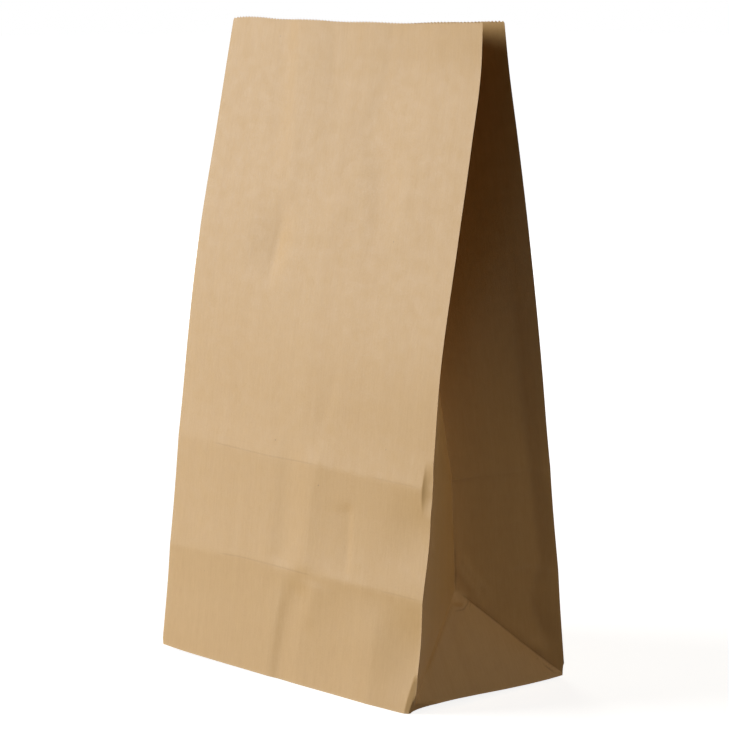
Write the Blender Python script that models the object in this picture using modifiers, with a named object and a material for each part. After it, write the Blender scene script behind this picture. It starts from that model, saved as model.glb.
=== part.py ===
# Gusseted kraft paper bag with a folded block bottom, standing open. Metres, +Z up.
# The front panel faces -Y, the gussets are at -X and +X, and the back seam is at +Y.
# The origin is on the floor, at the middle of the bottom.

import math

import bmesh
import bpy
from mathutils import Vector

# The sheet
PANEL_WIDTH = 0.180  # front and back panels
GUSSET_DEPTH = 0.107  # one side gusset, opened flat
SHEET_HEIGHT = 0.322  # from the bottom fold to the rim, along the paper
PAPER_THICKNESS = 0.00012

# How the standing bag holds itself
FOOT_LEAN = math.radians(6.0)  # of the panels below the bottom crease
MOUTH_DEPTH = 0.012  # between the panels at the rim

# Bottom flaps, back seam and rim
FLAP_OVERLAP = 0.024  # the front flap is pasted this far over the back one
FLAP_INSET = 0.0003  # from a flap's outline to the fold, for the fold's round
SEAM_WIDTH = 0.012
SEAM_X = -0.045
SEAM_START = 0.002  # above the bottom fold
TOOTH_PITCH = 0.00225
TOOTH_DEPTH = 0.0007
TRIM = 0.003  # paper above the rim that the saw-tooth knife takes off

# Creases left across the panels by the folded-up bottom
CREASE_DEPTH = 0.0003
CREASE_REACH = 0.004  # above and below the crease

# Steps of the mesh
ROW_STEP = 0.018
PANEL_COLUMNS = 4  # on half a panel
GUSSET_COLUMNS = 4  # on half a gusset
CUT_MARGIN = 0.01

KRAFT_COLOUR = (0.638, 0.456, 0.266, 1.0)
KRAFT_ROUGHNESS = 0.85

APEX_HEIGHT = GUSSET_DEPTH / 2  # where a gusset's folds meet, along the paper
FLAP_LENGTH = (GUSSET_DEPTH + FLAP_OVERLAP) / 2
CREASES = (APEX_HEIGHT, GUSSET_DEPTH)
BASE_LEVEL = 2 * PAPER_THICKNESS  # the gussets' ears lie on two pasted flaps
LAYER_BITE = 0.4 * PAPER_THICKNESS  # how far pasted layers run into each other


# Profile of a panel, by distance s along the paper from the bottom fold

def bend_rate():
    rise = SHEET_HEIGHT - APEX_HEIGHT
    depth_left = GUSSET_DEPTH / 2 - MOUTH_DEPTH / 2 - SHEET_HEIGHT * math.sin(FOOT_LEAN)
    return 2 * depth_left / rise ** 2


def sine_of_lean(s):
    return math.sin(FOOT_LEAN) + bend_rate() * max(0.0, s - APEX_HEIGHT)


def half_depth(s):
    bend = bend_rate() * max(0.0, s - APEX_HEIGHT) ** 2 / 2
    press = max(max(0.0, 1 - abs(s - crease) / CREASE_REACH) for crease in CREASES)
    return GUSSET_DEPTH / 2 - s * math.sin(FOOT_LEAN) - bend - CREASE_DEPTH * press


def half_circle_area(sine):
    return (math.asin(sine) + sine * math.sqrt(1 - sine ** 2)) / 2


def height(s):
    straight = min(s, APEX_HEIGHT) * math.cos(FOOT_LEAN)
    curved = (half_circle_area(sine_of_lean(s)) - half_circle_area(math.sin(FOOT_LEAN))) / bend_rate()
    return BASE_LEVEL + straight + curved


def rows_from(start):
    stops = [start]
    for crease in CREASES:
        stops += [crease - CREASE_REACH, crease, crease + CREASE_REACH]
    stops.append(SHEET_HEIGHT + TRIM)
    rows = [start]
    for low, high in zip(stops, stops[1:]):
        steps = math.ceil((high - low) / ROW_STEP)
        rows += [low + (high - low) * step / steps for step in range(1, steps + 1)]
    return rows


# Points of the front right quarter

def panel_edge(s):
    return Vector((PANEL_WIDTH / 2, -half_depth(s), height(s)))


def gusset_crease(s):
    lean = math.asin(sine_of_lean(s))
    reach = half_depth(s) / math.cos(lean)
    inward = math.sqrt((GUSSET_DEPTH / 2) ** 2 - reach ** 2)
    return Vector((PANEL_WIDTH / 2 - inward, 0.0, height(s) - reach * math.sin(lean)))


def spread(start, end, columns):
    return [start.lerp(end, column / columns) for column in range(columns + 1)]


def loft(bm, lines):
    rows = [[bm.verts.new(point) for point in line] for line in lines]
    for low, high in zip(rows, rows[1:]):
        for i in range(len(low) - 1):
            bm.faces.new((low[i], low[i + 1], high[i + 1], high[i]))


def add_panel(bm):
    lines = []
    for s in rows_from(0.0):
        edge = panel_edge(s)
        lines.append(spread(Vector((0.0, edge.y, edge.z)), edge, PANEL_COLUMNS))
    loft(bm, lines)


def add_gusset(bm):
    corner = panel_edge(0.0)
    foot = Vector((PANEL_WIDTH / 2, 0.0, BASE_LEVEL))
    apex = gusset_crease(APEX_HEIGHT)
    corner_fold = []
    bottom_triangle = []
    pleat = []
    for s in rows_from(0.0):
        if s <= APEX_HEIGHT:
            diagonal = corner.lerp(apex, s / APEX_HEIGHT)
            middle = foot.lerp(apex, s / APEX_HEIGHT)
            corner_fold.append(spread(panel_edge(s), diagonal, GUSSET_COLUMNS))
            bottom_triangle.append(spread(diagonal, middle, GUSSET_COLUMNS))
        if s >= APEX_HEIGHT:
            pleat.append(spread(panel_edge(s), gusset_crease(s), GUSSET_COLUMNS))
    for lines in (corner_fold, bottom_triangle, pleat):
        loft(bm, lines)


def add_bottom(bm):
    lines = []
    for row in range(GUSSET_COLUMNS + 1):
        y = -half_depth(0.0) * row / GUSSET_COLUMNS
        middle = Vector((0.0, y, BASE_LEVEL))
        lines.append(spread(middle, Vector((PANEL_WIDTH / 2, y, BASE_LEVEL)), PANEL_COLUMNS))
    loft(bm, lines)


# Helpers that the sheet is joined with or cut by

def new_object(name, bm, collection):
    mesh = bpy.data.meshes.new(name)
    bm.to_mesh(mesh)
    bm.free()
    obj = bpy.data.objects.new(name, mesh)
    collection.objects.link(obj)
    return obj


def make_prism(name, outline, along, collection):
    bm = bmesh.new()
    face = bm.faces.new([bm.verts.new(point) for point in outline])
    moved = bmesh.ops.extrude_face_region(bm, geom=[face])["geom"]
    verts = [item for item in moved if isinstance(item, bmesh.types.BMVert)]
    bmesh.ops.translate(bm, verts=verts, vec=along)
    bmesh.ops.recalc_face_normals(bm, faces=bm.faces)
    helper = new_object(name, bm, collection)
    helper.hide_render = True
    helper.display_type = "WIRE"
    return helper


# A level plate between two parallel edges, each given as (half width, y)
def make_plate(name, near, far, bottom, top, collection):
    outline = [
        (-near[0], near[1], bottom),
        (near[0], near[1], bottom),
        (far[0], far[1], bottom),
        (-far[0], far[1], bottom),
    ]
    return make_prism(name, outline, (0, 0, top - bottom), collection)


def make_flap(name, side, bottom, collection):
    fold = (PANEL_WIDTH / 2 - 2 * FLAP_INSET, side * (GUSSET_DEPTH / 2 - FLAP_INSET))
    free = (PANEL_WIDTH / 2 - FLAP_LENGTH, side * (GUSSET_DEPTH / 2 - FLAP_LENGTH))
    return make_plate(name, fold, free, bottom, BASE_LEVEL + LAYER_BITE, collection)


def make_gap_between_ears(collection):
    half_gap = PANEL_WIDTH / 2 - FLAP_LENGTH
    reach = GUSSET_DEPTH / 2 - 2 * PAPER_THICKNESS
    bottom = BASE_LEVEL + LAYER_BITE / 2
    top = BASE_LEVEL + 2 * PAPER_THICKNESS
    return make_plate("gap_between_ears", (half_gap, -reach), (half_gap, reach), bottom, top, collection)


def make_seam(collection):
    outer = []
    inner = []
    for s in rows_from(SEAM_START):
        lean = math.asin(sine_of_lean(s))
        line = Vector((SEAM_X - SEAM_WIDTH / 2, half_depth(s), height(s)))
        outward = Vector((0.0, math.cos(lean), math.sin(lean)))
        outer.append(line + outward * PAPER_THICKNESS)
        inner.append(line - outward * LAYER_BITE)
    return make_prism("back_seam", outer + inner[::-1], (SEAM_WIDTH, 0, 0), collection)


def make_rim_knife(collection):
    rim = height(SHEET_HEIGHT)
    teeth = math.ceil((PANEL_WIDTH / 2 + CUT_MARGIN) / TOOTH_PITCH)
    reach = teeth * TOOTH_PITCH
    outline = []
    for half_step in range(-2 * teeth, 2 * teeth + 1):
        drop = TOOTH_DEPTH if half_step % 2 else 0.0
        outline.append((half_step * TOOTH_PITCH / 2, -GUSSET_DEPTH, rim - drop))
    outline += [(reach, -GUSSET_DEPTH, rim + CUT_MARGIN), (-reach, -GUSSET_DEPTH, rim + CUT_MARGIN)]
    return make_prism("rim_knife", outline, (0, 2 * GUSSET_DEPTH, 0), collection)


# Modifiers

def add_solidify(obj, thickness):
    modifier = obj.modifiers.new("paper", "SOLIDIFY")
    modifier.solidify_mode = "NON_MANIFOLD"
    modifier.nonmanifold_thickness_mode = "CONSTRAINTS"
    modifier.nonmanifold_merge_threshold = 0.0
    modifier.thickness = thickness
    modifier.offset = -1.0


def add_boolean(obj, other, operation):
    modifier = obj.modifiers.new(other.name, "BOOLEAN")
    modifier.operation = operation
    modifier.solver = "EXACT"
    modifier.object = other


def make_kraft():
    material = bpy.data.materials.new("kraft_paper")
    material.use_nodes = True
    shader = material.node_tree.nodes["Principled BSDF"]
    shader.inputs["Base Color"].default_value = KRAFT_COLOUR
    shader.inputs["Roughness"].default_value = KRAFT_ROUGHNESS
    shader.inputs["Metallic"].default_value = 0.0
    return material


def make_sheet(collection):
    bm = bmesh.new()
    add_panel(bm)
    add_gusset(bm)
    add_bottom(bm)
    bmesh.ops.remove_doubles(bm, verts=bm.verts, dist=PAPER_THICKNESS / 10)
    bag = new_object("paper_bag", bm, collection)
    bag.data.materials.append(make_kraft())
    mirror = bag.modifiers.new("four_quarters", "MIRROR")
    mirror.use_axis = (True, True, False)
    mirror.merge_threshold = PAPER_THICKNESS / 10
    add_solidify(bag, PAPER_THICKNESS)
    return bag


def clear_scene():
    for obj in list(bpy.data.objects):
        bpy.data.objects.remove(obj, do_unlink=True)


def new_collection(name):
    collection = bpy.data.collections.new(name)
    bpy.context.scene.collection.children.link(collection)
    return collection


def main():
    clear_scene()
    parts = new_collection("paper_bag")
    helpers = new_collection("cutters")
    bag = make_sheet(parts)
    add_boolean(bag, make_seam(helpers), "UNION")
    add_boolean(bag, make_flap("back_flap", 1, PAPER_THICKNESS, helpers), "UNION")
    add_boolean(bag, make_flap("front_flap", -1, 0.0, helpers), "UNION")
    add_boolean(bag, make_gap_between_ears(helpers), "DIFFERENCE")
    add_boolean(bag, make_rim_knife(helpers), "DIFFERENCE")


main()
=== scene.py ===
# Brown kraft paper bag with gusseted sides and a folded block bottom, standing open.
# The bag is one sheet. Places on it are (t, s): t along a panel or gusset, s up from the bottom fold.
import math

import bpy
import numpy as np
from mathutils import Matrix, Vector


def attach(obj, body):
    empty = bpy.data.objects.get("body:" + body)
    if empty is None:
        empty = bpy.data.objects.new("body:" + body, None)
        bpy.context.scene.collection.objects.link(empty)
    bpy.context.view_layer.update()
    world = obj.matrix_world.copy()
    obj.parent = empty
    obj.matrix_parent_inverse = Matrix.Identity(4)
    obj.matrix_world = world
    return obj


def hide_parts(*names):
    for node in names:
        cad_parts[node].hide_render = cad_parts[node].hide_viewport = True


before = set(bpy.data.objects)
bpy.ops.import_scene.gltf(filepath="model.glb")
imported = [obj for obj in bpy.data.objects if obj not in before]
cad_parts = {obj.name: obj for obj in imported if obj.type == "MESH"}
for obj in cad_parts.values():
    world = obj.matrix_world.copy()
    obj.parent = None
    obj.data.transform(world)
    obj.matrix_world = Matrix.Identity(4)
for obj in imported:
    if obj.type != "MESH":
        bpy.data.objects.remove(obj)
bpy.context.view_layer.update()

mm = 0.001

bagSheet = {
    "panelWidth": 180 * mm,
    "gussetDepth": 107 * mm,
    "height": 322 * mm,  # bottom fold to rim, along the paper
    "thickness": 0.16 * mm,
    "footLean": math.radians(6.0),
    "mouthDepth": 12 * mm,
    "flapLength": 65.5 * mm,
    "seamFrom": 129 * mm,  # the back seam's overlap, measured from the right edge of the back
    "seamTo": 141 * mm,
    "seamLift": 0.24 * mm,
    "toothDepth": 0.75 * mm,  # the saw teeth of the rim
    "bottomLift": 2.0 * mm,  # the left front corner stands this far off the floor
    "backFlapLevel": 0.22 * mm,  # above the front flap, which is pasted over it
    "earLevel": 0.6 * mm,
    "sharpAngle": math.radians(28),  # a sharper bend is shaded as a fold
}

paperSteps = {
    "fineCell": 1.5 * mm,  # below the shoulder, where the creases are
    "fineGussetCells": 72,
    "shoulderRow": 80,  # the fine rows end here
    "toothCell": 2.25 * mm,  # above the shoulder a cell is as wide as a tooth of the rim
    "coarseRows": 44,
    "flapRows": 8,
    "flapStart": 1.5 * mm,  # one more row of the flaps, close to the fold
    "levels": 645,  # heights at which the standing edges are worked out
}

# How far each standing edge bows out (+) or in (-) from the even curve, by height on the sheet, in mm
standingEdges = {
    "frontLeft": {
        "side": (-1, -1), "on": ("front", 0.0),
        "bow": ((0, 1.4), (25, 1.0), (107, 1.2), (215, 2.0), (265, 0.1), (322, -0.6)),
    },
    "frontRight": {
        "side": (1, -1), "on": ("front", 1.0),
        "bow": ((0, -3.2), (12, -3.8), (25, -4.2), (53, -4.7), (107, -3.6), (160, -1.3), (215, -2.6),
                (265, -3.0), (300, -2.0), (322, 1.7)),
    },
    "backRight": {
        "side": (1, 1), "on": ("back", 0.0),
        "bow": ((0, 0), (25, -0.3), (53, -0.5), (107, -1.2), (160, -0.7), (215, -0.5), (265, -0.6),
                (300, -0.6), (322, 0.5)),
    },
    "backLeft": {
        "side": (-1, 1), "on": ("back", 1.0),
        "bow": ((0, 0), (25, -0.9), (107, -0.6), (215, 1.2), (265, 0.4), (322, -0.3)),
    },
}

# The middle crease of a gusset: how much less deep it is tucked than flat paper, and how much lower
middleCreases = {
    "right": {
        "ease": ((0, 0), (53.5, 1.8), (66, 3.8), (80, 6.0), (107, 7.8), (150, 4.5), (205, 1.0),
                 (322, 0)),
        "sag": ((0, 0), (53.5, 0.5), (80, 0.7), (130, 0), (322, 0)),
    },
    "left": {
        "ease": ((0, 0), (53.5, 3.6), (107, 6.0), (160, 3.0), (215, 0.8), (322, 0)),
        "sag": ((0, 0), (53.5, 1.6), (80, 0.4), (130, 0), (322, 0)),
    },
}

bottomLift = bagSheet["bottomLift"]
panelWidth = bagSheet["panelWidth"]
gussetDepth = bagSheet["gussetDepth"]
sheetHeight = bagSheet["height"]
apexUp = gussetDepth / 2  # where the folds of a gusset meet
levels = np.linspace(0.0, sheetHeight, paperSteps["levels"])


# A smooth curve through knots of (place, value), both in mm
def smoothThrough(knots, at):
    ups, values = np.array(knots, float).T * mm
    slopes = np.gradient(values, ups)
    i = np.clip(np.searchsorted(ups, at, side="right") - 1, 0, len(ups) - 2)
    span = ups[i + 1] - ups[i]
    x = (at - ups[i]) / span
    low = (2 * x**3 - 3 * x**2 + 1) * values[i] + (x**3 - 2 * x**2 + x) * span * slopes[i]
    high = (3 * x**2 - 2 * x**3) * values[i + 1] + (x**3 - x**2) * span * slopes[i + 1]
    return low + high


def smoothStep(x):
    x = np.clip(x, 0.0, 1.0)
    return x * x * (3 - 2 * x)


# Creases, valleys and dents pressed into the sheet. A path is walked through (t, s) in mm; the widths
# are how far the press reaches to the left and to the right of the walk. Height is outward, in mm.
# The shape is a fold where none is given.
pressedLines = {
    "front": [
        # across the panel, where the bottom was folded up; sharper towards the right
        {"path": ((-5, 108), (15, 108), (35, 107.2), (52, 106.6), (66, 106), (102, 106), (130, 105),
                  (185, 104)),
         "height": 0.42, "widths": (26, 24), "toEdge": True},
        {"path": ((60, 106.3), (102, 106), (130, 105), (185, 104)), "height": 0.30,
         "widths": (20, 22), "fade": (70, 0), "toEdge": True},
        {"path": ((-5, 52), (30, 52.5), (52, 53.5), (80, 53), (106, 52.2), (122, 53), (185, 52)),
         "height": 0.42, "widths": (24, 24), "toEdge": True},
        {"path": ((60, 53.3), (106, 52.2), (122, 53), (185, 52)), "height": 0.30, "widths": (20, 22),
         "fade": (70, 0), "toEdge": True},
        # low swell under the right end of each crease
        {"path": ((146, 84), (190, 84)), "height": -0.75, "widths": (20, 26), "shape": "soft",
         "fade": (30, 0), "toEdge": True},
        {"path": ((146, 29), (190, 29)), "height": -0.75, "widths": (22, 28), "shape": "soft",
         "fade": (30, 0), "toEdge": True},
        # between the two creases: a valley, an upright ridge and the hollow to its right
        {"path": ((82, 50), (84, 66), (85, 86), (84, 104), (81, 122)), "height": -0.31,
         "widths": (12, 13), "shape": "soft", "fade": (10, 18)},
        {"path": ((100, 50), (100, 70), (101, 92), (104, 106), (105, 120)), "height": 0.38,
         "widths": (19, 14), "fade": (7, 14)},
        {"path": ((128.5, 50), (128, 70), (126.5, 92)), "height": -0.36, "widths": (22, 3.5),
         "fade": (14, 7)},
        # below the lower crease
        {"path": ((87.5, -6), (88, 12), (90.5, 30), (96, 50)), "height": -0.38, "widths": (9, 12),
         "shape": "soft", "fade": (1, 9)},
        {"path": ((81, -6), (81, 12), (83, 44)), "height": 0.18, "widths": (13, 6), "shape": "soft",
         "fade": (1, 14)},
        {"path": ((103, 24), (106, 36), (108, 51)), "height": 0.26, "widths": (12, 14),
         "fade": (10, 5)},
        # above the upper crease: a pale streak, and a sharp-sided dent further up
        {"path": ((102, 114), (112, 158)), "height": -0.13, "widths": (6, 5), "shape": "soft",
         "fade": (10, 14)},
        {"path": ((54, 186), (59, 213), (62, 236)), "height": -1.35, "widths": (27, 12),
         "fade": (20, 26)},
        # long soft waves in the upper half
        {"path": ((53, 244), (45, 300), (44, 330)), "height": -0.29, "widths": (11, 10),
         "shape": "soft", "fade": (24, 0)},
        {"path": ((62, 226), (57, 264), (51, 330)), "height": 0.55, "widths": (18, 44),
         "fade": (30, 0)},
        {"path": ((106, 228), (118, 262), (124, 330)), "height": -0.45, "widths": (26, 34),
         "shape": "soft", "fade": (34, 0)},
        {"path": ((96, 246), (88, 300), (87, 330)), "height": -0.38, "widths": (24, 20),
         "shape": "soft", "fade": (26, 0)},
        {"path": ((82, 280), (76, 330)), "height": -0.10, "widths": (5, 3.5), "shape": "soft",
         "fade": (12, 0)},
        {"path": ((118, 284), (120, 330)), "height": -0.10, "widths": (5, 3.5), "shape": "soft",
         "fade": (12, 0)},
        {"path": ((128, 206), (126, 244), (113, 268), (121, 294)), "height": -0.34,
         "widths": (13, 15), "shape": "soft", "fade": (22, 18)},
        {"path": ((90, 216), (105, 240), (116, 258)), "height": 0.22, "widths": (11, 14),
         "shape": "soft", "fade": (14, 10)},
        # pinch beside the right edge at the upper crease
        {"path": ((174.1, 90), (174.1, 101), (174.4, 108), (174.8, 118)), "height": -1.35,
         "widths": (1, 1), "shape": "pinch", "fade": (12, 13), "toEdge": True},
        # the foot of the panel turns away towards the right
        {"path": ((150, -6), (150, 20), (150, 50)), "height": 0.7, "widths": (34, 30),
         "fade": (0, 22)},
    ],
    "rightGusset": [
        {"path": ((97, 12), (98, 20), (92, 41), (98, 60), (97, 90), (96, 105), (95, 150), (95, 230)),
         "height": -1.6, "widths": (26, 11), "fade": (14, 90)},
        {"path": ((56, 106), (75, 106.3), (99, 104.5), (107, 104)), "height": 0.7,
         "widths": (14, 10)},
        {"path": ((84, 58), (92, 58), (109, 52)), "height": 0.3, "widths": (6, 8), "fade": (6, 0)},
        # crumples where the folds meet
        {"path": ((54, 58), (54, 72), (54, 104)), "height": 0.5, "widths": (1.5, 8), "fade": (4, 22)},
        {"path": ((55.5, 66), (58, 60), (61, 55.5), (66, 48)), "height": 0.8, "widths": (3.6, 4.6),
         "fade": (3, 4)},
        {"path": ((57.5, 70), (61, 62), (65, 56), (71, 48)), "height": 0.5, "widths": (2.4, 2.4),
         "fade": (3, 4)},
        {"path": ((54, 52.5), (57.5, 50), (58, 46.5), (54, 44), (47, 45)), "height": 0.8,
         "widths": (2.6, 3), "fade": (2, 4)},
        # low ridges along the two slanting folds, and a swell between them
        {"path": ((50, 49), (38, 37), (27, 26), (14, 13)), "height": 1.2, "widths": (9, 1.5),
         "fade": (6, 10)},
        {"path": ((57, 52), (68, 41), (84, 25), (99, 10)), "height": 0.7, "widths": (10, 1.5),
         "fade": (5, 5), "edgeEase": 3},
        {"path": ((74, 52), (86, 36)), "height": 0.5, "widths": (11, 11), "shape": "soft",
         "fade": (8, 8)},
        {"path": ((88, 15), (102, 2.5)), "height": -0.5, "widths": (5, 5), "shape": "soft",
         "fade": (4, 2), "edgeEase": 3},
    ],
    "leftGusset": [
        {"path": ((12, 14), (11, 50), (12, 105), (13, 220)), "height": -2.2, "widths": (10, 26),
         "fade": (14, 60)},
        {"path": ((94, 20), (95, 60), (94, 150)), "height": -1.6, "widths": (24, 10),
         "fade": (14, 60)},
        {"path": ((0, 106), (50, 107)), "height": 0.3, "widths": (14, 10)},
        {"path": ((56, 107), (107, 106)), "height": 0.3, "widths": (14, 10)},
        {"path": ((47, 48), (44, 42)), "height": 0.4, "widths": (2.6, 2.6), "fade": (2, 2)},
        {"path": ((40, 50), (28, 38), (12, 20)), "height": -0.45, "widths": (8, 8), "shape": "soft",
         "fade": (6, 8)},
    ],
    "back": [
        {"path": ((-5, 105), (60, 107.5), (120, 106), (185, 107)), "height": 0.45, "widths": (26, 22),
         "toEdge": True},
        {"path": ((-5, 53), (70, 54), (130, 52.5), (185, 53)), "height": 0.40, "widths": (24, 22),
         "toEdge": True},
        {"path": ((64, 20), (62, 60), (66, 100)), "height": -0.4, "widths": (14, 12), "shape": "soft",
         "fade": (14, 12)},
        {"path": ((40, 170), (52, 220), (46, 262)), "height": -0.4, "widths": (18, 22),
         "shape": "soft", "fade": (26, 26)},
        {"path": ((108, 150), (100, 210)), "height": 0.35, "widths": (16, 18), "shape": "soft",
         "fade": (26, 26)},
    ],
}


# How far each point is from a path, on which side, how far along, and the length of the path
def walkDistance(path, t, s):
    distance = np.full(t.shape, 1e9)
    side = np.zeros(t.shape)
    walked = np.zeros(t.shape)
    total = 0.0
    for (t0, s0), (t1, s1) in zip(path, path[1:]):
        dt, ds = t1 - t0, s1 - s0
        length = math.hypot(dt, ds)
        part = np.clip(((t - t0) * dt + (s - s0) * ds) / length**2, 0.0, 1.0)
        offT, offS = t - t0 - part * dt, s - s0 - part * ds
        away = np.hypot(offT, offS)
        nearer = away < distance
        distance = np.where(nearer, away, distance)
        side = np.where(nearer, offT * ds - offS * dt, side)
        walked = np.where(nearer, total + part * length, walked)
        total += length
    return distance, side, walked, total


foldPower = 1.6  # the higher, the sharper a fold
pinchReach = 3.0  # in mm


def pressedHeight(line, t, s, width):
    distance, side, walked, total = walkDistance(line["path"], t / mm, s / mm)
    left, right = line["widths"]
    x = distance / np.where(side < 0, left, right)
    shape = line.get("shape", "fold")
    if shape == "fold":
        profile = np.maximum(0.0, 1 - x) ** foldPower
    elif shape == "pinch":
        steep = 1 - np.exp(-distance / pinchReach)
        profile = np.where(side < 0, 0.0, steep)
    else:
        profile = np.maximum(0.0, 1 - x * x) ** 2
    fadeIn, fadeOut = line.get("fade", (0, 0))
    if fadeIn:
        profile = profile * smoothStep(walked / fadeIn)
    if fadeOut:
        profile = profile * smoothStep((total - walked) / fadeOut)
    if not line.get("toEdge"):
        profile = profile * smoothStep(np.minimum(t, width - t) / (line.get("edgeEase", 6) * mm))
    return profile * line["height"] * mm


def stripWidth(name):
    return gussetDepth if "Gusset" in name else panelWidth


def pressed(name, t, s):
    return sum(pressedHeight(line, t, s, stripWidth(name)) for line in pressedLines[name])


# Standing edges and the crease down the middle of each gusset, as lines over the levels

# Half the bag's depth where nothing bows: straight up to the apex, then an even bend to the mouth
def evenHalfDepth(up):
    foot = math.sin(bagSheet["footLean"])
    left = gussetDepth / 2 - bagSheet["mouthDepth"] / 2 - sheetHeight * foot
    bend = left / (sheetHeight - apexUp) ** 2
    return gussetDepth / 2 - up * foot - bend * np.maximum(0.0, up - apexUp) ** 2


def standingLine(edge):
    panel, end = edge["on"]
    half = evenHalfDepth(levels) + smoothThrough(edge["bow"], levels)
    half = half + pressed(panel, np.full(levels.shape, end * panelWidth), levels)
    rise = np.sqrt(1 - np.gradient(half, levels) ** 2)
    z = bottomLift + np.concatenate(([0.0], np.cumsum((rise[1:] + rise[:-1]) / 2 * np.diff(levels))))
    sideX, sideY = edge["side"]
    return np.stack([np.full(len(levels), sideX * panelWidth / 2), sideY * half, z], 1)


def middleLine(front, back, side, crease):
    halfSpan = (back[:, 1] - front[:, 1]) / 2
    lean = -np.gradient(halfSpan, levels)
    slant = halfSpan / np.sqrt(1 - lean**2)
    tuck = np.sqrt(np.maximum(apexUp**2 - slant**2, 0.0)) - smoothThrough(crease["ease"], levels)
    x = side * (panelWidth / 2 - np.maximum(tuck, 0.0))
    y = (front[:, 1] + back[:, 1]) / 2
    z = (front[:, 2] + back[:, 2]) / 2 - slant * lean - smoothThrough(crease["sag"], levels)
    return np.stack([x, y, z], 1)


edgeLines = {name: standingLine(edge) for name, edge in standingEdges.items()}
creaseLines = {
    "right": middleLine(edgeLines["frontRight"], edgeLines["backRight"], 1, middleCreases["right"]),
    "left": middleLine(edgeLines["frontLeft"], edgeLines["backLeft"], -1, middleCreases["left"]),
}


def onLine(line, up):
    up = np.clip(up, 0.0, sheetHeight)
    return np.stack([np.interp(up, levels, line[:, k]) for k in range(3)], -1)


def between(a, b, part):
    return a + (b - a) * part[..., None]


# Places on the folded sheet, before it is dented. Below the bottom fold (s < 0) the flaps lie flat.

flapRise = 2 * mm  # a flap reaches its own level this far from the fold


def onPanel(startEdge, endEdge, flapLevel):
    def place(t, s):
        start = onLine(edgeLines[startEdge], s)
        end = onLine(edgeLines[endEdge], s)
        under = np.maximum(-s, 0.0)
        start[..., 0] *= 1 - under / (panelWidth / 2)
        end[..., 0] *= 1 - under / (panelWidth / 2)
        point = between(start, end, t / panelWidth)
        point[..., 1] -= np.sign(point[..., 1]) * under
        point[..., 2] += flapLevel * smoothStep(under / flapRise)
        return point
    return place


# The ears under the bottom are drawn in, so that they don't show past the panels' bottom edges
ears = {
    "inset": 0.012,  # share of the gusset's depth
    "insetReach": 5 * mm,
    "taper": 0.5,  # further share for each metre from the fold
}


def onGusset(startEdge, endEdge, crease, flapLevel):
    apex = onLine(creaseLines[crease], np.array(apexUp))

    def place(t, s):
        start = onLine(edgeLines[startEdge], s)
        end = onLine(edgeLines[endEdge], s)
        middle = onLine(creaseLines[crease], s)
        startCorner = onLine(edgeLines[startEdge], np.zeros_like(s))
        endCorner = onLine(edgeLines[endEdge], np.zeros_like(s))
        pleat = np.where((t < apexUp)[..., None], between(start, middle, t / apexUp),
                         between(end, middle, (gussetDepth - t) / apexUp))
        reach = np.clip(s / apexUp, 0.0, 1.0)
        startFold = between(startCorner, apex, reach)
        endFold = between(endCorner, apex, reach)
        width = np.maximum(s, 1e-9)
        middleWidth = np.maximum(gussetDepth - 2 * np.maximum(s, 0.0), 1e-9)
        low = between(startFold, endFold, np.clip((t - np.maximum(s, 0.0)) / middleWidth, 0.0, 1.0))
        low = np.where((t < s)[..., None], between(start, startFold, t / width), low)
        low = np.where((gussetDepth - t < s)[..., None],
                       between(end, endFold, (gussetDepth - t) / width), low)
        point = np.where((s < apexUp)[..., None], low, pleat)
        under = np.maximum(-s, 0.0)
        point[..., 0] -= np.sign(point[..., 0]) * under
        drawnIn = ears["inset"] * smoothStep(under / ears["insetReach"]) + ears["taper"] * under
        point[..., 1] *= 1 - drawnIn
        point[..., 2] += flapLevel * smoothStep(under / flapRise)
        return point
    return place


# The sheet goes round from the inner edge of the back seam to its outer edge
strips = [
    {"name": "back", "from": bagSheet["seamFrom"], "to": panelWidth,
     "place": onPanel("backRight", "backLeft", bagSheet["backFlapLevel"])},
    {"name": "leftGusset", "from": 0.0, "to": gussetDepth,
     "place": onGusset("backLeft", "frontLeft", "left", bagSheet["earLevel"])},
    {"name": "front", "from": 0.0, "to": panelWidth,
     "extra": np.arange(172.9, 178, 0.5) * mm,  # where the pinch beside the edge starts
     "place": onPanel("frontLeft", "frontRight", 0.0)},
    {"name": "rightGusset", "from": 0.0, "to": gussetDepth,
     "place": onGusset("frontRight", "backRight", "right", bagSheet["earLevel"])},
    {"name": "back", "from": 0.0, "to": bagSheet["seamTo"],
     "place": onPanel("backRight", "backLeft", bagSheet["backFlapLevel"])},
]

# The grid of the sheet: fine rows up to the shoulder, tooth-wide cells above, flaps under the bottom

def stripColumns(strip, fine):
    length = strip["to"] - strip["from"]
    if fine:
        cells = round(length / paperSteps["fineCell"])
        if "Gusset" in strip["name"]:
            cells = paperSteps["fineGussetCells"]
    else:
        cells = round(length / paperSteps["toothCell"])
    columns = np.linspace(strip["from"], strip["to"], cells + 1)
    if fine and "extra" in strip:
        columns = np.sort(np.concatenate((columns, strip["extra"])))
    return columns


def stripNormals(grid):
    across = np.gradient(grid, axis=1)
    up = np.gradient(grid, axis=0)
    normals = np.cross(across, up)
    return normals / np.maximum(np.linalg.norm(normals, axis=2), 1e-12)[..., None]


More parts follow.
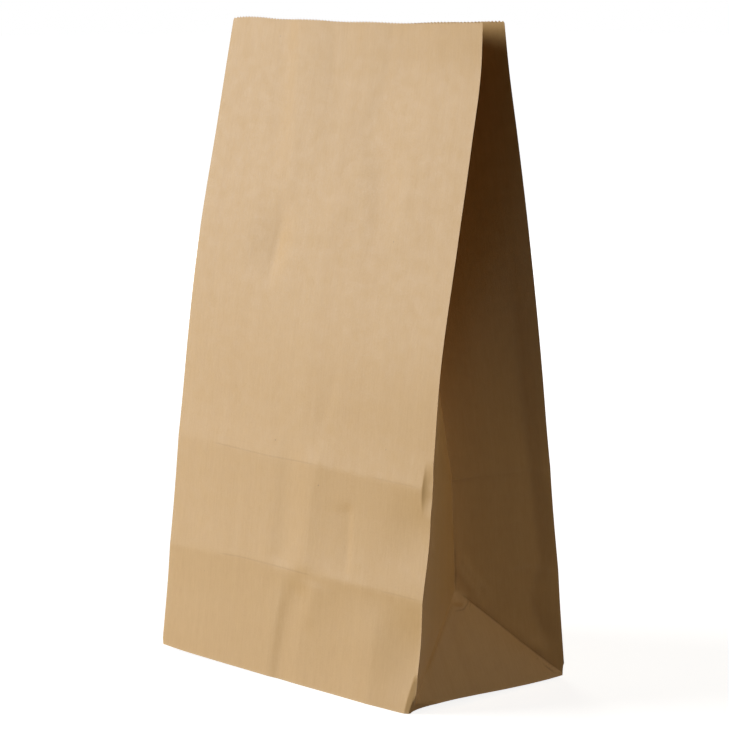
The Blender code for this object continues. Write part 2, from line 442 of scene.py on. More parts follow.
# How far the bottom sags below the level of its left front corner, in mm. The flaps under it are flat.
bottomSags = {
    "front": ((0, -0.2), (15, 0.5), (37, 1.0), (62, 1.4), (88, 1.7), (113, 1.9), (140, 2.0), (172, 2.0),
              (180, 1.6)),
    "back": ((0, 0.3), (14, 1.2), (50, 2.0), (130, 2.0), (166, 1.2), (180, 0.3)),
    "rightGusset": ((0, 1.6), (5, 0.2), (12, -0.7), (25, -1.0), (42, -0.6), (64, 0.2), (95, 0.6),
                    (107, 0.3)),
    "leftGusset": ((0, 0.3), (30, 1.5), (54, 1.9), (80, 1.5), (107, -0.2)),
}
flapSags = {"front": 1.5 * mm, "back": 1.5 * mm, "rightGusset": 0.9 * mm, "leftGusset": 0.9 * mm}

# How far the cut of the rim dips below level, by place along the panel, in mm
rimDips = {
    "front": ((0, -0.2), (8, -0.7), (22, -0.6), (34, 0.1), (57, 0.3), (68, 0.5), (78, 1.0), (103, 1.0),
              (126, 1.4), (150, 1.0), (172, 0.6), (180, 0.5)),
    "back": ((0, -0.2), (10, 0.1), (22, 0.6), (45, 0.9), (60, 1.6), (100, 1.9), (150, 0.9), (180, 0.5)),
    "rightGusset": ((0, 0.5), (30, 1.0), (60, 1.0), (90, 0.3), (107, 0.2)),
    "leftGusset": ((0, 0.5), (50, 1.0), (107, 0.3)),
}

# How far each correction of the grid reaches
reaches = {
    "dents": 24 * mm,  # above the bottom edge, which stays level
    "rimDip": 25 * mm,
    "bottomSag": 45 * mm,
    "flapSag": 25 * mm,
    "seamStart": 121 * mm,  # where the outer ply starts to lift over the inner one
    "seamRise": 8 * mm,
}


def dentedGrid(strip, columns, rows, outerPly):
    t, s = np.meshgrid(columns, rows)
    name, width = strip["name"], stripWidth(strip["name"])
    grid = strip["place"](t, s)
    # what reaches the standing edges has already moved them
    atStart, atEnd = pressed(name, 0 * t, s), pressed(name, 0 * t + width, s)
    height = pressed(name, t, s) - atStart * (1 - t / width) - atEnd * t / width
    isFlap = rows[0] < 0
    if isFlap:
        height = height * 0
    if outerPly:
        lift = smoothStep((t - reaches["seamStart"]) / reaches["seamRise"])
        height = height + bagSheet["seamLift"] * lift
    shift = stripNormals(grid) * height[..., None]
    shift[..., 2] *= 0.0 if isFlap else smoothStep(s / reaches["dents"])
    dip = smoothThrough(rimDips[name], t)
    dip = dip * smoothStep((s - sheetHeight + reaches["rimDip"]) / reaches["rimDip"])
    sag = np.minimum(smoothThrough(bottomSags[name], t), bottomLift)
    sag = sag * smoothStep(1 - s / reaches["bottomSag"])
    sag = sag + (flapSags[name] - sag) * smoothStep(-s / reaches["flapSag"])
    grid[..., 2] -= dip + sag
    return grid, shift


class Sheet:
    def __init__(self):
        self.points = []
        self.faces = []
        self.marks = []  # across, up, rim, slack, wear (partly a painted fold highlight), and the offset and strength of the painted fold shade of each point

    def addPoint(self, point, marks):
        self.points.append(point)
        self.marks.append(marks)
        return len(self.points) - 1


# How pale the folds are made, and how wide: rubbed paper, and partly a painted highlight where a fold
# would catch the light
wornAndHighlitFolds = {
    "standing": 0.2, "standingFoot": 0.8, "footReach": 90 * mm, "bottom": 0.9, "middle": 0.8,
    "wide": 0.7 * mm,
    "pressed": 0.35, "diagonal": 0.3, "pressedWide": 0.9 * mm,
}


# paler folds: rubbed paper, and partly a painted fold highlight
def wearAndHighlightAt(name, t, s, width):
    nearFold = np.minimum(t, width - t)
    foot = wornAndHighlitFolds["standingFoot"] * smoothStep(1 - s / wornAndHighlitFolds["footReach"])
    wearAndHighlight = np.exp(-nearFold / wornAndHighlitFolds["wide"]) * (wornAndHighlitFolds["standing"] + foot)
    wearAndHighlight = wearAndHighlight + wornAndHighlitFolds["bottom"] * np.exp(-np.abs(s) / wornAndHighlitFolds["wide"])
    if "Gusset" in name:
        for line in pressedLines[name]:
            if "shape" not in line:
                distance, _, _, _ = walkDistance(line["path"], t / mm, s / mm)
                wearAndHighlight = wearAndHighlight + wornAndHighlitFolds["pressed"] * np.exp(-distance * mm / wornAndHighlitFolds["pressedWide"])
        middle = np.exp(-np.abs(t - apexUp) / wornAndHighlitFolds["wide"]) * (s > apexUp)
        diagonal = np.minimum(np.abs(t - s), np.abs(gussetDepth - t - s))
        diagonal = np.exp(-diagonal / wornAndHighlitFolds["pressedWide"]) * (s < apexUp) * (s > 0)
        wearAndHighlight = wearAndHighlight + wornAndHighlitFolds["middle"] * middle + wornAndHighlitFolds["diagonal"] * diagonal
    return np.clip(wearAndHighlight, 0.0, 1.0)


# Painted shade: dark lines along the sharpest folds, and a painted shadow along the glued edge of the
# seam. Path in (t, s), how strong, how wide in mm
foldShadeLines = {
    "front": [
        (((26, 107.6), (35, 107.2), (52, 106.6), (66, 106), (104, 106)), 0.20, 0.45),
        (((138, 105), (174, 104.2)), 0.13, 0.45),
        (((36, 52.8), (52, 53.5), (80, 53), (106, 52.2)), 0.20, 0.45),
        (((150, 52.5), (179, 52)), 0.15, 0.45),
    ],
    "rightGusset": [
        (((55, 52), (66, 41), (78, 29), (94, 13), (105, 2)), 0.38, 0.6),
        (((54, 76), (54, 60), (53.5, 52)), 0.4, 0.7),
        (((54, 52.5), (58.5, 49), (59, 46), (54.5, 43), (46, 43)), 0.4, 0.5),
        (((102.5, 0.5), (94, 9)), 0.6, 0.5),
    ],
    "leftGusset": [(((52, 50), (40, 39), (20, 19)), 0.4, 0.6)],
    "back": [
        (((8, 105.3), (60, 107.5), (120, 106), (172, 106.9)), 0.16, 0.5),
        (((20, 53.2), (70, 54), (130, 52.5), (165, 52.8)), 0.12, 0.5),
        (((140.3, -8), (140.3, 330)), 0.45, 0.5),  # painted shadow along the glued edge of the seam
    ],
}


foldShadeFade = {"ends": 6, "far": 6, "farOver": 3}  # in mm


# Signed distance to the nearest painted shade line, over its width, and how strong it is there
def foldShadeAt(name, t, s):
    offset, strength = np.full(t.shape, 9.0), np.zeros(t.shape)
    for path, strong, wide in foldShadeLines[name]:
        distance, side, walked, total = walkDistance(path, t / mm, s / mm)
        nearer = distance / wide < np.abs(offset)
        ends = foldShadeFade["ends"]
        fade = smoothStep(walked / ends) * smoothStep((total - walked) / ends)
        fade = fade * smoothStep((foldShadeFade["far"] - distance) / foldShadeFade["farOver"])
        offset = np.where(nearer, distance / wide * np.where(side < 0, -1, 1), offset)
        strength = np.where(nearer, strong * fade, strength)
    return offset, strength


# The paper cockles where it is slack: not at the folds, and less on the gussets
slackness = {"foldReach": 12 * mm, "middleReach": 8 * mm, "gusset": 0.6}


def slackAt(name, t, s, width):
    slack = smoothStep(np.minimum(t, width - t) / slackness["foldReach"])
    slack = slack * smoothStep(s / slackness["foldReach"])
    if "Gusset" in name:
        slack = slack * smoothStep(np.abs(t - apexUp) / slackness["middleReach"]) * slackness["gusset"]
    return slack


# One block of rows on every strip. A strip's first column is the last one of the strip before.
def addBlock(sheet, rows, fine, rimRow=False):
    blocks = []
    acrossStart = 0.0
    lastColumn = None
    for number, strip in enumerate(strips):
        columns = stripColumns(strip, fine)
        outerPly = number == len(strips) - 1
        grid, shift = dentedGrid(strip, columns, rows, outerPly)
        t, s = np.meshgrid(columns, rows)
        width = stripWidth(strip["name"])
        # paler folds: rubbed paper, and partly a painted fold highlight
        wearAndHighlight = wearAndHighlightAt(strip["name"], t, s, width)
        # painted shade lines along the sharpest folds and the seam's edge
        foldShadeOffset, foldShade = foldShadeAt(strip["name"], t, s)
        slack = slackAt(strip["name"], t, s, width)
        index = np.zeros(grid.shape[:2], int)
        sharesFold = lastColumn is not None and rows[0] >= 0
        for i in range(len(rows)):
            for j in range(len(columns)):
                if sharesFold and j == 0:
                    index[i, j] = lastColumn[i]
                    sheet.points[index[i, j]] = sheet.points[index[i, j]] + shift[i, j]
                    continue
                marks = (acrossStart + columns[j] - columns[0], rows[i],
                         float(rimRow and i == len(rows) - 1), slack[i, j], wearAndHighlight[i, j],
                         foldShadeOffset[i, j], foldShade[i, j])
                index[i, j] = sheet.addPoint(grid[i, j] + shift[i, j], marks)
        lastColumn = index[:, -1]
        acrossStart += columns[-1] - columns[0]
        blocks.append(index)
    return blocks


def addQuads(sheet, index, splitDiagonals=False):
    rows, columns = index.shape
    cells = columns - 1
    for i in range(rows - 1):
        for j in range(cells):
            a, b = index[i, j], index[i, j + 1]
            c, d = index[i + 1, j + 1], index[i + 1, j]
            if splitDiagonals and i == j and i < cells // 2:
                sheet.faces += [(a, b, c), (a, c, d)]
            elif splitDiagonals and i == cells - 1 - j and i < cells // 2:
                sheet.faces += [(a, b, d), (b, c, d)]
            else:
                sheet.faces.append((a, b, c, d))


# Joins two rows of unlike counts with triangles
def zipRows(sheet, lower, upper):
    i = j = 0
    while i < len(lower) - 1 or j < len(upper) - 1:
        nextLower = (i + 1) / (len(lower) - 1)
        nextUpper = (j + 1) / (len(upper) - 1)
        if j == len(upper) - 1 or (i < len(lower) - 1 and nextLower <= nextUpper):
            sheet.faces.append((lower[i], lower[i + 1], upper[j]))
            i += 1
        else:
            sheet.faces.append((lower[i], upper[j + 1], upper[j]))
            j += 1


def buildSheet():
    sheet = Sheet()
    step = gussetDepth / paperSteps["fineGussetCells"]
    fineRows = np.arange(paperSteps["shoulderRow"] + 1) * step
    coarseRows = np.linspace(fineRows[-1], sheetHeight - bagSheet["toothDepth"],
                             paperSteps["coarseRows"] + 1)[1:]
    fineBlocks = addBlock(sheet, fineRows, fine=True)
    coarseBlocks = addBlock(sheet, coarseRows, fine=False, rimRow=True)
    flapRows = -np.linspace(0.0, bagSheet["flapLength"], paperSteps["flapRows"] + 1)[1:]
    flapRows = np.concatenate((flapRows[::-1], [-paperSteps["flapStart"]]))
    flapBlocks = addBlock(sheet, flapRows, fine=True)
    for strip, fineBlock, coarseBlock, flapBlock in zip(strips, fineBlocks, coarseBlocks, flapBlocks):
        addQuads(sheet, fineBlock, splitDiagonals="Gusset" in strip["name"])
        zipRows(sheet, fineBlock[-1], coarseBlock[0])
        addQuads(sheet, coarseBlock)
        addQuads(sheet, np.vstack((flapBlock, fineBlock[:1])))
    return sheet


# Crushed lower corners: the paper is pushed back to a plane that cuts the corner off. It faces
# so many degrees away from the panel towards the gusset.
crushedCorners = [
    {"edge": "frontRight", "turn": 20, "depth": 1.7 * mm, "reach": 18 * mm},
    {"edge": "frontRight", "turn": 80, "depth": 3.3 * mm, "reach": 8.5 * mm},
    {"edge": "backRight", "turn": 45, "depth": 1.1 * mm, "reach": 7 * mm},
    {"edge": "backLeft", "turn": 45, "depth": 0.9 * mm, "reach": 7 * mm},
    {"edge": "frontLeft", "turn": 45, "depth": 0.4 * mm, "reach": 4 * mm},
]


def crushCorners(points):
    for crush in crushedCorners:
        sideX, sideY = standingEdges[crush["edge"]]["side"]
        turn = math.radians(crush["turn"])
        away = np.array((sideX * math.sin(turn), sideY * math.cos(turn), 0.0))
        up = np.clip(points[:, 2], 0.0, None)
        corner = onLine(edgeLines[crush["edge"]], up)
        depth = crush["depth"] * np.clip(1 - up / crush["reach"], 0.0, 1.0) ** 0.5
        over = (points - corner) @ away + depth
        points = points - np.maximum(over, 0.0)[:, None] * away * (depth > 0)[:, None]
    return points


sheet = buildSheet()
sheetPoints = crushCorners(np.array(sheet.points))
sheetMarks = np.array(sheet.marks)
print("sheet folded:", len(sheetPoints), "points,", len(sheet.faces), "faces")


def newObject(name, data):
    obj = bpy.data.objects.new(name, data)
    bpy.context.scene.collection.objects.link(obj)
    return obj


def newMeshObject(name, points, faces):
    mesh = bpy.data.meshes.new(name)
    mesh.from_pydata([tuple(point) for point in points], [], [tuple(map(int, face)) for face in faces])
    mesh.update()
    return newObject(name, mesh)


def markPoints(obj, name, kind, values):
    attribute = obj.data.attributes.new(name, kind, "POINT")
    attribute.data.foreach_set("vector" if kind == "FLOAT_VECTOR" else "value", values.ravel())


# Kraft paper: colour in streaks along the machine direction, mottling, fibre specks, folds made paler
# (rubbed paper and a painted fold highlight) and painted shade along the sharpest folds
kraftLook = {
    "light": (0.618, 0.401, 0.175, 1.0),
    "dark": (0.553, 0.342, 0.135, 1.0),
    # colour of the paler folds: rubbed paper, and partly a painted highlight
    "wornAndHighlight": (0.670, 0.470, 0.250, 1.0),
    # colour of the painted shade along the sharpest folds
    "paintedFoldShade": (0.330, 0.185, 0.070, 1.0),
    "speck": (0.190, 0.110, 0.060, 1.0),
    "fibreSize": (0.9 * mm, 8 * mm),
    "streakSize": (2.6 * mm, 90 * mm),
    "bandSize": (13 * mm, 400 * mm),
    "mottleSize": 7 * mm,
    "grainSize": (0.35 * mm, 1.1 * mm),
    "noiseSpan": (0.25, 0.75),  # what nearly all values of a noise lie in
    "speckSpacing": 11 * mm,
    "speckCrowding": 0.7,  # up the sheet, against across it
    "speckEdge": (0.018, 0.032),  # radius of the full and of the faded spot, in spacings
    "speckMissing": 0.62,  # share of the places that have no speck
    "speckStrength": 0.8,
    "foldShadeEdge": (0.3, 1.3),  # where a painted shade line starts to fade and ends, in its widths
    "roughness": (0.38, 0.46),
    "specular": 0.27,
    "bumpDistance": 0.05 * mm,
    "bumpStrength": 0.5,
    # how far each pattern moves the tone between dark and light
    "streaks": 0.15, "bands": 0.14, "mottle": 0.18, "grain": 0.16, "fibres": 0.20,
    "wornAndHighlightShare": 0.45,
}


# Adds nodes to a tree. A node given as an input stands for its first output.
class Tree:
    def __init__(self, tree):
        self.tree = tree

    def add(self, kind, place, inputs=None, **settings):
        node = self.tree.nodes.new(kind)
        node.location = place
        for key, value in settings.items():
            setattr(node, key, value)
        for key, value in (inputs or {}).items():
            if isinstance(value, bpy.types.Node):
                value = value.outputs[0]
            if isinstance(value, bpy.types.NodeSocket):
                self.tree.links.new(value, node.inputs[key])
            else:
                node.inputs[key].default_value = value
        return node

    def calc(self, operation, place, a, b=0.0):
        return self.add("ShaderNodeMath", place, {0: a, 1: b}, operation=operation).outputs[0]

    def blend(self, place, part, a, b):
        return self.add("ShaderNodeMix", place, {"Factor": part, 6: a, 7: b},
                        data_type="RGBA").outputs[2]

    # Takes the first span of values to the second one
    def remap(self, place, value, given, wanted, **settings):
        return self.add("ShaderNodeMapRange", place, {
            "Value": value, "From Min": given[0], "From Max": given[1], "To Min": wanted[0],
            "To Max": wanted[1]}, **settings).outputs["Result"]

    def link(self, start, end):
        self.tree.links.new(start, end)


def makeKraft():
    material = bpy.data.materials.new("kraft_paper")
    material.use_nodes = True
    material.node_tree.nodes.clear()
    tree = Tree(material.node_tree)
    sheetPlace = tree.add("ShaderNodeAttribute", (-1600, 0), attribute_name="sheetPlace")
    place = sheetPlace.outputs["Vector"]

    def noiseOf(x, y, detail, size, scatter=0.5):
        scale = (1 / size[0], 1 / size[1], 1.0)
        mapping = tree.add("ShaderNodeMapping", (x - 200, y), {"Vector": place, "Scale": scale})
        noise = tree.add("ShaderNodeTexNoise", (x, y), {
            "Vector": mapping, "Scale": 1.0, "Detail": detail, "Roughness": scatter})
        return noise.outputs["Fac"]

    def weigh(value, low, high, x, y):
        return tree.remap((x, y), value, kraftLook["noiseSpan"], (low, high), clamp=False)

    def total(a, b, x, y):
        return tree.calc("ADD", (x, y), a, b)

    streaks = noiseOf(-1100, 500, 3.0, kraftLook["streakSize"])
    bands = noiseOf(-1100, 250, 1.0, kraftLook["bandSize"])
    mottle = noiseOf(-1100, 0, 4.0, (kraftLook["mottleSize"], kraftLook["mottleSize"]), 0.6)
    grain = noiseOf(-1100, -250, 2.0, kraftLook["grainSize"], 0.6)
    fibres = noiseOf(-1100, -1250, 1.0, kraftLook["fibreSize"])

    def toneOf(name, value, y):
        return weigh(value, -kraftLook[name], kraftLook[name], -850, y)

    tone = total(toneOf("streaks", streaks, 500), toneOf("bands", bands, 250), -650, 400)
    tone = total(tone, toneOf("mottle", mottle, 0), -500, 300)
    tone = total(tone, toneOf("grain", grain, -250), -350, 200)
    tone = total(tone, toneOf("fibres", fibres, -1250), -350, 350)
    tone = total(tone, 0.5, -200, 200)
    paper = tree.blend((0, 200), tone, kraftLook["dark"], kraftLook["light"])

    # paler folds: rubbed paper, and partly a painted fold highlight
    wearAndHighlight = tree.add("ShaderNodeAttribute", (-1600, -500), attribute_name="wearAndHighlight")
    wornAndHighlightPart = tree.calc("MULTIPLY", (-200, -100), wearAndHighlight.outputs["Fac"], kraftLook["wornAndHighlightShare"])
    paper = tree.blend((200, 150), wornAndHighlightPart, paper, kraftLook["wornAndHighlight"])

    # painted shade along the sharpest folds and the seam's edge
    foldShade = tree.add("ShaderNodeAttribute", (-1600, -1000), attribute_name="foldShade")
    foldShadeParts = tree.add("ShaderNodeSeparateXYZ", (-1400, -1000), {
        "Vector": foldShade.outputs["Vector"]})
    away = tree.calc("ABSOLUTE", (-1200, -1000), foldShadeParts.outputs["X"])
    nearFoldShade = tree.remap((-1000, -1000), away, kraftLook["foldShadeEdge"], (1.0, 0.0),
                            interpolation_type="SMOOTHSTEP")
    paintedFoldShade = tree.calc("MULTIPLY", (-800, -1050), nearFoldShade, foldShadeParts.outputs["Y"])
    paper = tree.blend((300, 300), paintedFoldShade, paper, kraftLook["paintedFoldShade"])

    spacing = 1 / kraftLook["speckSpacing"]
    speckPlace = tree.add("ShaderNodeMapping", (-1300, -750), {
        "Vector": place, "Scale": (spacing, spacing * kraftLook["speckCrowding"], 1.0)})
    cells = tree.add("ShaderNodeTexVoronoi", (-1100, -750), {
        "Vector": speckPlace, "Scale": 1.0})
    spot = tree.remap((-850, -700), cells.outputs["Distance"], kraftLook["speckEdge"], (1.0, 0.0))
    few = tree.add("ShaderNodeSeparateColor", (-850, -900), {"Color": cells.outputs["Color"]})
    kept = tree.remap((-650, -900), few.outputs[0], (kraftLook["speckMissing"], 1.0),
                      (0.0, kraftLook["speckStrength"]))
    speck = tree.calc("MULTIPLY", (-450, -750), spot, kept)
    paper = tree.blend((400, 100), speck, paper, kraftLook["speck"])

    rough = tree.remap((200, -200), mottle, (0.3, 0.7), kraftLook["roughness"])
    relief = total(weigh(grain, 0.0, 1.0, -850, -400), weigh(streaks, 0.0, 0.6, -850, 650), 0, -400)
    bump = tree.add("ShaderNodeBump", (400, -400), {
        "Height": relief, "Strength": kraftLook["bumpStrength"],
        "Distance": kraftLook["bumpDistance"]})
    shader = tree.add("ShaderNodeBsdfPrincipled", (650, 0), {
        "Base Color": paper, "Roughness": rough, "Normal": bump,
        "Specular IOR Level": kraftLook["specular"], "Metallic": 0.0})
    tree.add("ShaderNodeOutputMaterial", (950, 0), {"Surface": shader})
    return material


# Cockling of the paper and the saw-toothed rim, as one Geometry Nodes tree
rimAndCockle = {
    "cockleHeight": 0.16 * mm,
    "cockleSize": (20 * mm, 200 * mm, 1.0),  # across and up the sheet
    "toothDepth": bagSheet["toothDepth"],
    "weldDistance": 0.02 * mm,
}


def makeFinishTree():
    group = bpy.data.node_groups.new("paperFinish", "GeometryNodeTree")
    group.interface.new_socket("Geometry", in_out="INPUT", socket_type="NodeSocketGeometry")
    for name, value in rimAndCockle.items():
        kind = "NodeSocketVector" if isinstance(value, tuple) else "NodeSocketFloat"
        group.interface.new_socket(name, in_out="INPUT", socket_type=kind)
    group.interface.new_socket("paper", in_out="INPUT", socket_type="NodeSocketMaterial")
    group.interface.new_socket("Geometry", in_out="OUTPUT", socket_type="NodeSocketGeometry")
    tree = Tree(group)
    start = tree.add("NodeGroupInput", (-1800, 0))

    def mark(name, place, kind="FLOAT"):
        return tree.add("GeometryNodeInputNamedAttribute", place, {"Name": name},
                        data_type=kind).outputs["Attribute"]

    # cockling: noise over the sheet, along the paper's normal, none at the folds
    sheetPlace = mark("sheetPlace", (-1800, 500), "FLOAT_VECTOR")
    inSizes = tree.add("ShaderNodeVectorMath", (-1600, 600), {
        0: sheetPlace, 1: start.outputs["cockleSize"]}, operation="DIVIDE")
    noise = tree.add("ShaderNodeTexNoise", (-1400, 500), {
        "Vector": inSizes, "Scale": 1.0, "Detail": 1.0, "Roughness": 0.4})
    centred = tree.calc("SUBTRACT", (-1200, 500), noise.outputs["Fac"], 0.5)
    slack = mark("slack", (-1800, 350))
    tall = tree.calc("MULTIPLY", (-1200, 300), start.outputs["cockleHeight"], slack)
    height = tree.calc("MULTIPLY", (-1000, 400), centred, tall)
    normal = tree.add("GeometryNodeInputNormal", (-1200, 150))
    offset = tree.add("ShaderNodeVectorMath", (-800, 300), {
        0: normal, "Scale": height}, operation="SCALE")
    cockled = tree.add("GeometryNodeSetPosition", (-600, 100), {
        "Geometry": start.outputs["Geometry"], "Offset": offset})

    # one tooth on each edge of the rim, turned along it and as wide as it
    # an edge has the mean mark of its two ends
    onRim = tree.add("FunctionNodeCompare", (-800, -200), {0: mark("rim", (-1000, -200)), 1: 0.75},
                     data_type="FLOAT", operation="GREATER_THAN")
    ends = tree.add("GeometryNodeInputMeshEdgeVertices", (-1800, -300))
    apart = tree.add("ShaderNodeSeparateXYZ", (-1600, -600), {"Vector": sheetPlace})
    across = []
    for number in (1, 2):
        across.append(tree.add("GeometryNodeFieldAtIndex", (-1400, -300 - 200 * number), {
            "Index": ends.outputs["Vertex Index %d" % number], "Value": apart.outputs["X"]},
            data_type="FLOAT", domain="POINT").outputs["Value"])
    alongWay = tree.calc("SUBTRACT", (-1200, -500), across[1], across[0])
    sign = tree.calc("SIGN", (-1050, -500), alongWay)
    edgeWay = tree.add("ShaderNodeVectorMath", (-1400, -200), {
        0: ends.outputs["Position 2"], 1: ends.outputs["Position 1"]}, operation="SUBTRACT")
    turned = tree.add("ShaderNodeVectorMath", (-900, -400), {
        0: edgeWay, "Scale": sign}, operation="SCALE")
    captured = tree.add("GeometryNodeCaptureAttribute", (-400, -100), {"Geometry": cockled},
                        domain="EDGE")
    captured.capture_items.new("VECTOR", "edgeWay")
    tree.link(turned.outputs["Vector"], captured.inputs["edgeWay"])
    points = tree.add("GeometryNodeMeshToPoints", (-200, -200), {
        "Mesh": captured, "Selection": onRim}, mode="EDGES")
    turn = tree.add("FunctionNodeAxesToRotation", (-200, -450), {
        "Primary Axis": captured.outputs["edgeWay"], "Secondary Axis": (0.0, 0.0, 1.0)},
        primary_axis="X", secondary_axis="Z")
    wide = tree.add("ShaderNodeVectorMath", (-200, -600), {0: captured.outputs["edgeWay"]},
                    operation="LENGTH")
    size = tree.add("ShaderNodeCombineXYZ", (0, -600), {
        "X": wide.outputs["Value"], "Y": 1.0, "Z": start.outputs["toothDepth"]})

    # a triangle of unit base and unit height, from a three-cornered circle
    radius = 1 / math.sqrt(3)
    corner = tree.add("GeometryNodeMeshCircle", (-600, -800), {"Vertices": 3, "Radius": radius},
                      fill_type="NGON")
    spot = tree.add("GeometryNodeInputPosition", (-1000, -900))
    spotParts = tree.add("ShaderNodeSeparateXYZ", (-800, -900), {"Vector": spot})
    base = tree.calc("MULTIPLY", (-600, -1000), spotParts.outputs["Y"], -1.0)
    raised = tree.remap((-600, -1150), spotParts.outputs["X"], (-radius / 2, radius), (0.0, 1.0))
    upright = tree.add("ShaderNodeCombineXYZ", (-400, -1000), {"X": base, "Y": 0.0, "Z": raised})
    tooth = tree.add("GeometryNodeSetPosition", (-200, -850), {
        "Geometry": corner, "Position": upright})
    teeth = tree.add("GeometryNodeInstanceOnPoints", (200, -300), {
        "Points": points, "Instance": tooth, "Rotation": turn, "Scale": size})
    realTeeth = tree.add("GeometryNodeRealizeInstances", (400, -300), {"Geometry": teeth})
    joined = tree.add("GeometryNodeJoinGeometry", (600, 0))
    tree.link(realTeeth.outputs["Geometry"], joined.inputs["Geometry"])
    tree.link(captured.outputs["Geometry"], joined.inputs["Geometry"])
    welded = tree.add("GeometryNodeMergeByDistance", (800, 0), {
        "Geometry": joined, "Distance": start.outputs["weldDistance"]})
    real = tree.add("GeometryNodeRealizeInstances", (1000, 0), {"Geometry": welded})
    painted = tree.add("GeometryNodeSetMaterial", (1200, 0), {
        "Geometry": real, "Material": start.outputs["paper"]})
    tree.add("NodeGroupOutput", (1400, 0), {"Geometry": painted})
    return group


def makeBag():
    bag = newMeshObject("foldedBag", sheetPoints, sheet.faces)
    across, up, rim, slack, wearAndHighlight, foldShadeOffset, foldShade = sheetMarks.T
    level = np.zeros(len(sheetMarks))
    markPoints(bag, "sheetPlace", "FLOAT_VECTOR", np.column_stack((across, up, level)))
    # the paler folds hold a painted fold highlight as well as rubbed paper
    for name, values in (("rim", rim), ("slack", slack), ("wearAndHighlight", wearAndHighlight)):
        markPoints(bag, name, "FLOAT", np.ascontiguousarray(values))
    # painted shade along the sharpest folds and the seam's edge
    markPoints(bag, "foldShade", "FLOAT_VECTOR", np.column_stack((foldShadeOffset, foldShade, level)))
    kraft = makeKraft()
    finishTree = makeFinishTree()
    finish = bag.modifiers.new("paperFinish", "NODES")
    finish.node_group = finishTree
    sizes = dict(rimAndCockle, paper=kraft)
    for item in finishTree.interface.items_tree:
        if item.in_out == "INPUT" and item.name in sizes:
            finish[item.identifier] = sizes[item.name]
    ply = bag.modifiers.new("ply", "SOLIDIFY")
    ply.thickness = bagSheet["thickness"]
    ply.offset = -1.0
    ready = bag.evaluated_get(bpy.context.evaluated_depsgraph_get())
    mesh = bpy.data.meshes.new_from_object(ready)
    bag.modifiers.clear()
    bag.data = mesh
    mesh.name = "foldedBag"
    mesh.polygons.foreach_set("use_smooth", [True] * len(mesh.polygons))
    mesh.set_sharp_from_angle(angle=bagSheet["sharpAngle"])
    for name in ("rim", "slack"):
        if name in mesh.attributes:
            mesh.attributes.remove(mesh.attributes[name])
    return bag


bag = makeBag()
bag.data.calc_loop_triangles()
print("bag finished:", len(bag.data.loop_triangles), "triangles")
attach(bag, "root")
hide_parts("paper_bag")


# Studio: pale floor, one soft key from the front left, warm fills for the gusset, a fill for the back
studio = {
    "floorReach": 12.0,
    "floorColour": (0.60, 0.60, 0.59, 1.0),
    "floorBounce": (0.150, 0.106, 0.060, 1.0),  # what the floor throws back at the bag
    "floorLift": 0.86,  # added for the camera: the open floor is white and a shadow still shows
    "worldLight": (1.0, 0.98, 0.86, 1.0),
    "worldStrength": 0.042,
    "key": {"fromLeft": math.radians(44), "height": math.radians(16), "softness": math.radians(36),
            "strength": 3.03, "colour": (1.0, 1.0, 1.0)},
    "sideFill": {"place": (1.54, 1.0, 1.2), "size": 0.8, "power": 4.6, "colour": (1.0, 0.76, 0.46)},
    "sideGlow": {"place": (0.37, 0.08, 0.03), "size": 0.16, "power": 0.0115,
                 "colour": (1.0, 0.72, 0.42), "aim": 0.04, "spread": math.radians(75)},
    "backFill": {"place": (-1.9, 1.1, 0.7), "size": 1.0, "power": 14.0, "colour": (1.0, 0.97, 0.92)},
    "floorGlow": {"place": (-0.40, -0.45, 0.03), "size": 0.3, "power": 0.8,
                  "colour": (1.0, 0.95, 0.88)},
}


# 1 for what the camera sees directly, in a gloss or through glass, and 0 for light that bounces
def whiteForCamera(tree):
    rays = tree.add("ShaderNodeLightPath", (-300, 300)).outputs
    seen = tree.calc("MAXIMUM", (-100, 300), rays["Is Camera Ray"], rays["Is Glossy Ray"])
    return tree.calc("MAXIMUM", (100, 300), seen, rays["Is Transmission Ray"])


def makeFloor():
    reach = studio["floorReach"]
    corners = [(-reach, -reach, 0), (reach, -reach, 0), (reach, reach, 0), (-reach, reach, 0)]
    floor = newMeshObject("studioFloor", corners, [(0, 1, 2, 3)])
    material = bpy.data.materials.new("studioFloor")
    material.use_nodes = True
    material.node_tree.nodes.clear()
    tree = Tree(material.node_tree)
    bounce = tree.add("ShaderNodeBsdfDiffuse", (0, 200), {"Color": studio["floorBounce"]})
    diffuse = tree.add("ShaderNodeBsdfDiffuse", (0, 0), {"Color": studio["floorColour"]})
    lift = tree.add("ShaderNodeEmission", (0, -200), {
        "Color": (1.0, 1.0, 1.0, 1.0), "Strength": studio["floorLift"]})
    raised = tree.add("ShaderNodeAddShader", (200, -100), {0: diffuse, 1: lift})
    mix = tree.add("ShaderNodeMixShader", (400, 0), {0: whiteForCamera(tree), 1: bounce, 2: raised})
    tree.add("ShaderNodeOutputMaterial", (600, 0), {"Surface": mix})
    floor.data.materials.append(material)


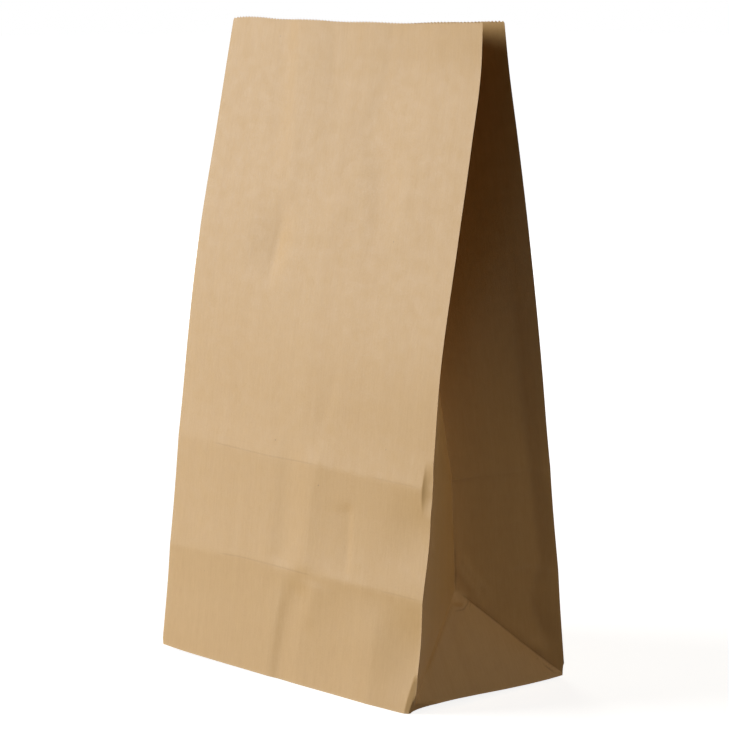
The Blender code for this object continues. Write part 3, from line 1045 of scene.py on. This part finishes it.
def makeWorld():
    world = bpy.data.worlds.new("studioWorld")
    world.use_nodes = True
    world.node_tree.nodes.clear()
    tree = Tree(world.node_tree)
    dim = tree.add("ShaderNodeBackground", (0, 0), {
        "Color": studio["worldLight"], "Strength": studio["worldStrength"]})
    white = tree.add("ShaderNodeBackground", (0, -200), {
        "Color": (1.0, 1.0, 1.0, 1.0), "Strength": 1.0})
    mix = tree.add("ShaderNodeMixShader", (400, 0), {0: whiteForCamera(tree), 1: dim, 2: white})
    tree.add("ShaderNodeOutputWorld", (600, 0), {"Surface": mix})
    bpy.context.scene.world = world


def addAreaLight(name):
    lamp = studio[name]
    data = bpy.data.lights.new(name, "AREA")
    data.shape = "DISK"
    data.size = lamp["size"]
    data.energy = lamp["power"]
    data.color = lamp["colour"]
    data.spread = lamp.get("spread", math.pi)
    light = newObject(name, data)
    light.location = lamp["place"]
    light.visible_camera = False
    aim = Vector((0.0, 0.0, lamp.get("aim", 0.16))) - light.location
    light.rotation_euler = aim.to_track_quat("-Z", "Y").to_euler()


def addKeyLight():
    lamp = studio["key"]
    data = bpy.data.lights.new("keyLight", "SUN")
    data.energy = lamp["strength"]
    data.angle = lamp["softness"]
    data.color = lamp["colour"]
    light = newObject("keyLight", data)
    level = math.cos(lamp["height"])
    towards = Vector((-level * math.sin(lamp["fromLeft"]), -level * math.cos(lamp["fromLeft"]),
                      math.sin(lamp["height"])))
    light.location = towards * 2.0
    light.rotation_euler = towards.to_track_quat("Z", "Y").to_euler()


# Camera at the photograph's place
photoCamera = {
    "place": (0.9755, -0.9028, 0.3400),
    "turn": math.radians(47.144),
    "down": math.radians(8.097),
    "roll": math.radians(0.155),
    "lens": 134.26,
}


def makeCamera():
    data = bpy.data.cameras.new("photoCamera")
    data.sensor_width = 36.0
    data.sensor_fit = "HORIZONTAL"
    data.lens = photoCamera["lens"]
    data.clip_start = 0.05
    camera = newObject("photoCamera", data)
    turn = Matrix.Rotation(photoCamera["turn"], 4, "Z")
    tilt = Matrix.Rotation(math.pi / 2 - photoCamera["down"], 4, "X")
    roll = Matrix.Rotation(photoCamera["roll"], 4, "Z")
    camera.matrix_world = Matrix.Translation(photoCamera["place"]) @ turn @ tilt @ roll
    bpy.context.scene.camera = camera


makeFloor()
makeWorld()
addKeyLight()
for name in ("sideFill", "floorGlow", "sideGlow", "backFill"):
    addAreaLight(name)
makeCamera()
bpy.context.scene.view_settings.view_transform = "Standard"
print("studio ready")
